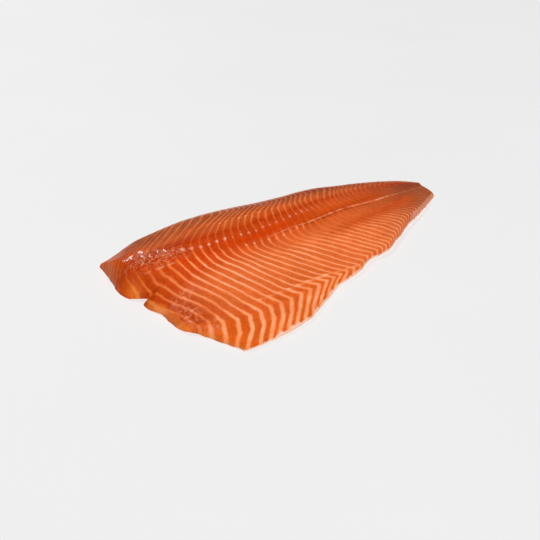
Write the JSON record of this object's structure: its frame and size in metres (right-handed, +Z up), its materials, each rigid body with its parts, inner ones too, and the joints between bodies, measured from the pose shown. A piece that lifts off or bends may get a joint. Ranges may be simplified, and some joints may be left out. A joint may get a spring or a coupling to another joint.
{
  "type": "raw salmon fillet",
  "caption": "Raw side of salmon lying flesh side up: a thick loin along the back edge, a thin belly flap, a tapering tail and a short notch in the head end.",
  "frame": {"origin": "middle of the footprint's box, on the plane that the fillet rests on", "axes": "+X along the fillet from head end to tail, +Y towards the thick back edge, +Z up out of the flesh side"},
  "size_m": [0.4084, 0.2072, 0.028],
  "materials": {
    "salmon_flesh": "wet raw orange flesh with pale fat lines between its flakes"
  },
  "bodies": {
    "root": {"fillet": "salmon_flesh"}
  },
  "joints": []
}
